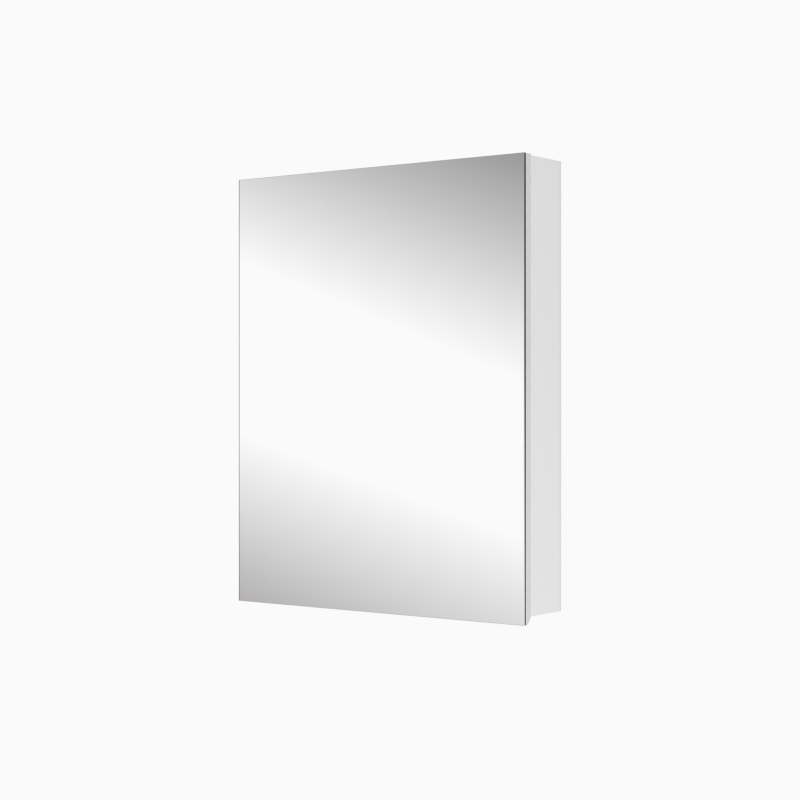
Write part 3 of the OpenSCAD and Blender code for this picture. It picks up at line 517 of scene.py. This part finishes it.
FINISHES = {
    "white_board": coated_board(),
    "white_edging": edging(),
    "white_back": back_board(),
    "white_lacquer": lacquer(),
    "mirror": mirror(),
    "tape": foam_tape(),
    "shelf_glass": shelf_glass(),
    "zinc": cast_zinc(),
    "plated_steel": plated_steel(),
    "nickel_steel": nickel_steel(),
    "link_steel": link_steel(),
    "pin_steel": pin_steel(),
    "spring_steel": spring_steel(),
    "screw_steel": screw_steel(),
    "white_plastic": white_plastic(),
    "clear_plastic": clear_plastic(),
    "beech": beech(),
}

for part in frame["record"]["subparts"]:
    piece = nodes[part["node"]]
    piece.data.materials.clear()
    piece.data.materials.append(FINISHES[part["material_slot"]])


# Broken edges: how far each piece's sharp edges are rounded, in millimetres

EDGE_WIDTHS = {
    "left_side": 0.3, "right_side": 0.3, "top_panel": 0.3, "bottom_panel": 0.3,
    "front_edging": 0.12, "back_panel": 0.15, "door_board": 0.5,
    "upper_shelf": 0.15, "lower_shelf": 0.15, "mirror_tape": 0.1,
    "cam_locks": 0.25, "cam_bolts": 0.2, "cam_caps": 0.3, "dowels": 0.2,
    "shelf_pins": 0.3, "shelf_pin_sleeves": 0.15, "door_buffers": 0.3,
    "left_hanger_case": 0.8, "right_hanger_case": 0.8,
    "left_hanger_hook": 0.4, "right_hanger_hook": 0.4, "hanger_screws": 0.2,
    "left_wall_plate": 0.35, "right_wall_plate": 0.35,
    "upper_hinge_cup": 0.2, "lower_hinge_cup": 0.2,
    "upper_hinge_plate": 0.35, "lower_hinge_plate": 0.35,
    "upper_hinge_arm": 0.3, "lower_hinge_arm": 0.3,
    "upper_long_link": 0.15, "lower_long_link": 0.15,
    "upper_short_link": 0.2, "lower_short_link": 0.2,
    "arm_pins": 0.15, "cup_pins": 0.15, "short_link_pins": 0.15, "closing_springs": 0.12,
    "cup_screws": 0.2, "plate_screws": 0.2, "arm_screws": 0.2,
}
SHARP = math.radians(35)
SAME_POINT = 0.001 * MM

# Pieces that touch clear plastic or the carcass face to face are drawn in by this
# much, so that both faces show cleanly
DRAWN_IN = ("shelf_pins", "door_buffers")
AIR = 0.03 * MM


def break_edges(piece, width):
    normals = piece.data.attributes.get("custom_normal")
    if normals:
        piece.data.attributes.remove(normals)
    for face in piece.data.polygons:
        face.use_smooth = True
    weld = piece.modifiers.new("Weld", "WELD")
    weld.merge_threshold = SAME_POINT
    if piece.name in DRAWN_IN:
        air = piece.modifiers.new("Air", "DISPLACE")
        air.mid_level = 0.0
        air.strength = -AIR
    bevel = piece.modifiers.new("Broken edges", "BEVEL")
    bevel.width = width * MM
    bevel.segments = 2
    bevel.limit_method = "ANGLE"
    bevel.angle_limit = SHARP
    bevel.harden_normals = True


for name, width in EDGE_WIDTHS.items():
    break_edges(nodes[name], width)


def add_object(name, data):
    made = bpy.data.objects.new(name, data)
    bpy.context.scene.collection.objects.link(made)
    return made


def look_along(made, direction):
    made.rotation_mode = "QUATERNION"
    made.rotation_quaternion = direction.to_track_quat("-Z", "Y")


# Camera: level, with its place measured from the mirror's lower right corner

LENS = 80.07
SENSOR = 36.0
MIRROR_CORNER = Vector((glass_high.x, glass_low.y, glass_low.z))
FROM_CORNER = Vector((1.5068, -2.3892, 0.3577))
LINE_OF_SIGHT = Vector((-0.591, 0.8067, 0.0))

camera_data = bpy.data.cameras.new("Camera")
camera_data.lens = LENS
camera_data.sensor_width = SENSOR
camera = add_object("Camera", camera_data)
camera.location = MIRROR_CORNER + FROM_CORNER
look_along(camera, LINE_OF_SIGHT)
bpy.context.scene.camera = camera


# Room: a pale floor far below, soft world light and two soft boxes

LIGHTEST = 250 / 255
FLOOR_DROP = 1.3
FLOOR_HALF = 5.0
FLOOR_NEAR = 1.0
FLOOR_FAR = 3.6
SKY_STRENGTH = 0.92
BANDS = 9.0
BAND_SLOPE = 0.35
BAND_LIGHT = 0.68
BAND_DEPTH = 0.22
WALL_LIGHT = 0.82
WALL_FROM_X = (-0.1, 0.3)
WALL_FROM_Y = (0.1, 0.5)
SKY_TONES = [
    (0.0, grey(0.42)),
    (0.42, grey(0.86)),
    (0.56, grey(0.92)),
    (1.0, grey(0.50)),
]


def plane(name, corners, finish):
    mesh = bpy.data.meshes.new(name)
    mesh.from_pydata(corners, [], [(0, 1, 2, 3)])
    mesh.materials.append(finish)
    made = add_object(name, mesh)
    return made


def pale_floor():
    """Matt and softly lit, and fading out towards the horizon. From below it is clear."""
    finish = new_finish("Floor")
    x, y, _ = finish.axes(finish.place())
    away = (x * x + y * y) ** 0.5
    underside = finish.node("ShaderNodeNewGeometry", None, None, "Backfacing")
    fade = finish.smooth(away, FLOOR_NEAR, FLOOR_FAR).at_least(underside)
    tint = finish.mix(finish.noise(finish.place(), 3.0), grey(0.72), grey(0.75))
    matt = finish.node("ShaderNodeBsdfDiffuse", None, {"Color": tint})
    light = finish.glow(finish.mix(finish.ray("Is Glossy Ray"), grey(0.34), grey(0.10)))
    bright = finish.node("ShaderNodeAddShader", None, {0: matt, 1: light})
    shown = finish.mix_shaders(fade, bright, finish.clear())
    return finish.close(finish.mix_shaders(finish.ray("Is Diffuse Ray"), shown, matt))


def studio_sky(world):
    """Plain white to the camera, soft light to the pieces.

    Reflections show soft slanting bands of light, as between tall windows, and a
    plain wall behind the cabinet on its right.
    """
    finish = Finish(world)
    x, y, z = finish.axes(finish.node("ShaderNodeTexCoord", None, None, "Generated"))
    glow = finish.ramp(z * 0.5 + 0.5, SKY_TONES)
    wall = finish.smooth(x, *WALL_FROM_X) * finish.smooth(y, *WALL_FROM_Y)
    waves = finish.math("SINE", (z + BAND_SLOPE * x) * BANDS)
    bands = WALL_LIGHT * wall + (1 - wall) * (BAND_LIGHT + BAND_DEPTH * waves)
    soft = finish.node("ShaderNodeBackground", None, {"Color": glow, "Strength": SKY_STRENGTH})
    banded = finish.node("ShaderNodeBackground", None, {"Color": bands})
    backdrop = {"Color": grey(1.0), "Strength": linear(LIGHTEST)}
    plain = finish.node("ShaderNodeBackground", None, backdrop)
    shown = finish.mix_shaders(finish.ray("Is Glossy Ray"), soft, banded)
    shown = finish.mix_shaders(finish.ray("Is Camera Ray"), shown, plain)
    finish.close(shown, "ShaderNodeOutputWorld")


def soft_box(name, place, aim, size, power):
    light = bpy.data.lights.new(name, "AREA")
    light.shape = "RECTANGLE"
    light.size, light.size_y = size
    light.energy = power
    made = add_object(name, light)
    made.location = place
    look_along(made, Vector(aim) - Vector(place))
    made.visible_camera = False
    made.visible_glossy = False


floor_z = door_low.z - FLOOR_DROP
plane("Floor", [
    (-FLOOR_HALF, -FLOOR_HALF, floor_z),
    (FLOOR_HALF, -FLOOR_HALF, floor_z),
    (FLOOR_HALF, FLOOR_HALF, floor_z),
    (-FLOOR_HALF, FLOOR_HALF, floor_z),
], pale_floor())

bpy.context.scene.world = bpy.data.worlds.new("Studio")
studio_sky(bpy.context.scene.world)

soft_box(
    "Soft box right", place=(2.2, -0.4, -1.2), aim=(0.3, -0.05, -0.5),
    size=(1.6, 1.2), power=14.0,
)
soft_box(
    "Soft box left", place=(-1.8, -2.2, 0.8), aim=(0.0, 0.0, -0.3),
    size=(1.6, 1.6), power=20.0,
)


# The mirror shows one soft grey and white card in front of the cabinet. Its lightest
# band lies between two slanting lines, each a height at the mirror's middle and a slope

CARD_AWAY = 3.0
MARGIN = 0.5
UPPER_LINE = (-0.1774, -0.3664)
LOWER_LINE = (-0.4548, -0.2693)
FALL_ABOVE = 0.797
FALL_BELOW = 0.848
CURVE_ABOVE = 0.676
CURVE_BELOW = 0.346
DARKEST = 0.3
WARM_TINT = rgb(1.012, 0.988, 1.0)
WARM_TONES = (0.70, 0.83)
MIRROR_LOSS = 0.9545

eye = camera.location
card_scale = (glass_low.y - eye.y + CARD_AWAY) / (glass_low.y - eye.y)


def on_card(x, z):
    """The point of the card that the camera sees at a point of the mirror."""
    across = eye.x + (x - eye.x) * card_scale
    return (across, glass_low.y - CARD_AWAY, eye.z + (z - eye.z) * card_scale)


def card_paper():
    finish = new_finish("Card")
    card_x, _, card_z = finish.axes(finish.place())
    x = (card_x - eye.x) / card_scale + eye.x
    z = (card_z - eye.z) / card_scale + eye.z
    above = (z - (UPPER_LINE[0] + UPPER_LINE[1] * x)).at_least(0.0)
    below = ((LOWER_LINE[0] + LOWER_LINE[1] * x) - z).at_least(0.0)
    tone = LIGHTEST - FALL_ABOVE * above - FALL_BELOW * below
    tone = tone - CURVE_ABOVE * above * above - CURVE_BELOW * below * below
    tone = tone.at_least(DARKEST)
    warm = finish.mix(finish.smooth(tone, *WARM_TONES), WARM_TINT, grey(1.0))
    lit = finish.glow(finish.stretched(warm, linear(tone) / MIRROR_LOSS))
    middle_z = (glass_low.z + glass_high.z) / 2
    rim_x = (abs(x) - glass_high.x) / MARGIN
    rim_z = (abs(z - middle_z) - (glass_high.z - glass_low.z) / 2) / MARGIN
    past_rim = finish.smooth(rim_x.at_least(rim_z), 0.1, 1.0)
    return finish.close(finish.mix_shaders(past_rim, lit, finish.clear()))


card = plane("Card", [
    on_card(glass_low.x - MARGIN, glass_low.z - MARGIN),
    on_card(glass_high.x + MARGIN, glass_low.z - MARGIN),
    on_card(glass_high.x + MARGIN, glass_high.z + MARGIN),
    on_card(glass_low.x - MARGIN, glass_high.z + MARGIN),
], card_paper())
for seen_by in ("visible_camera", "visible_diffuse", "visible_transmission", "visible_shadow"):
    setattr(card, seen_by, False)

bpy.context.scene.view_settings.view_transform = "Standard"
bpy.context.scene.view_settings.look = "None"
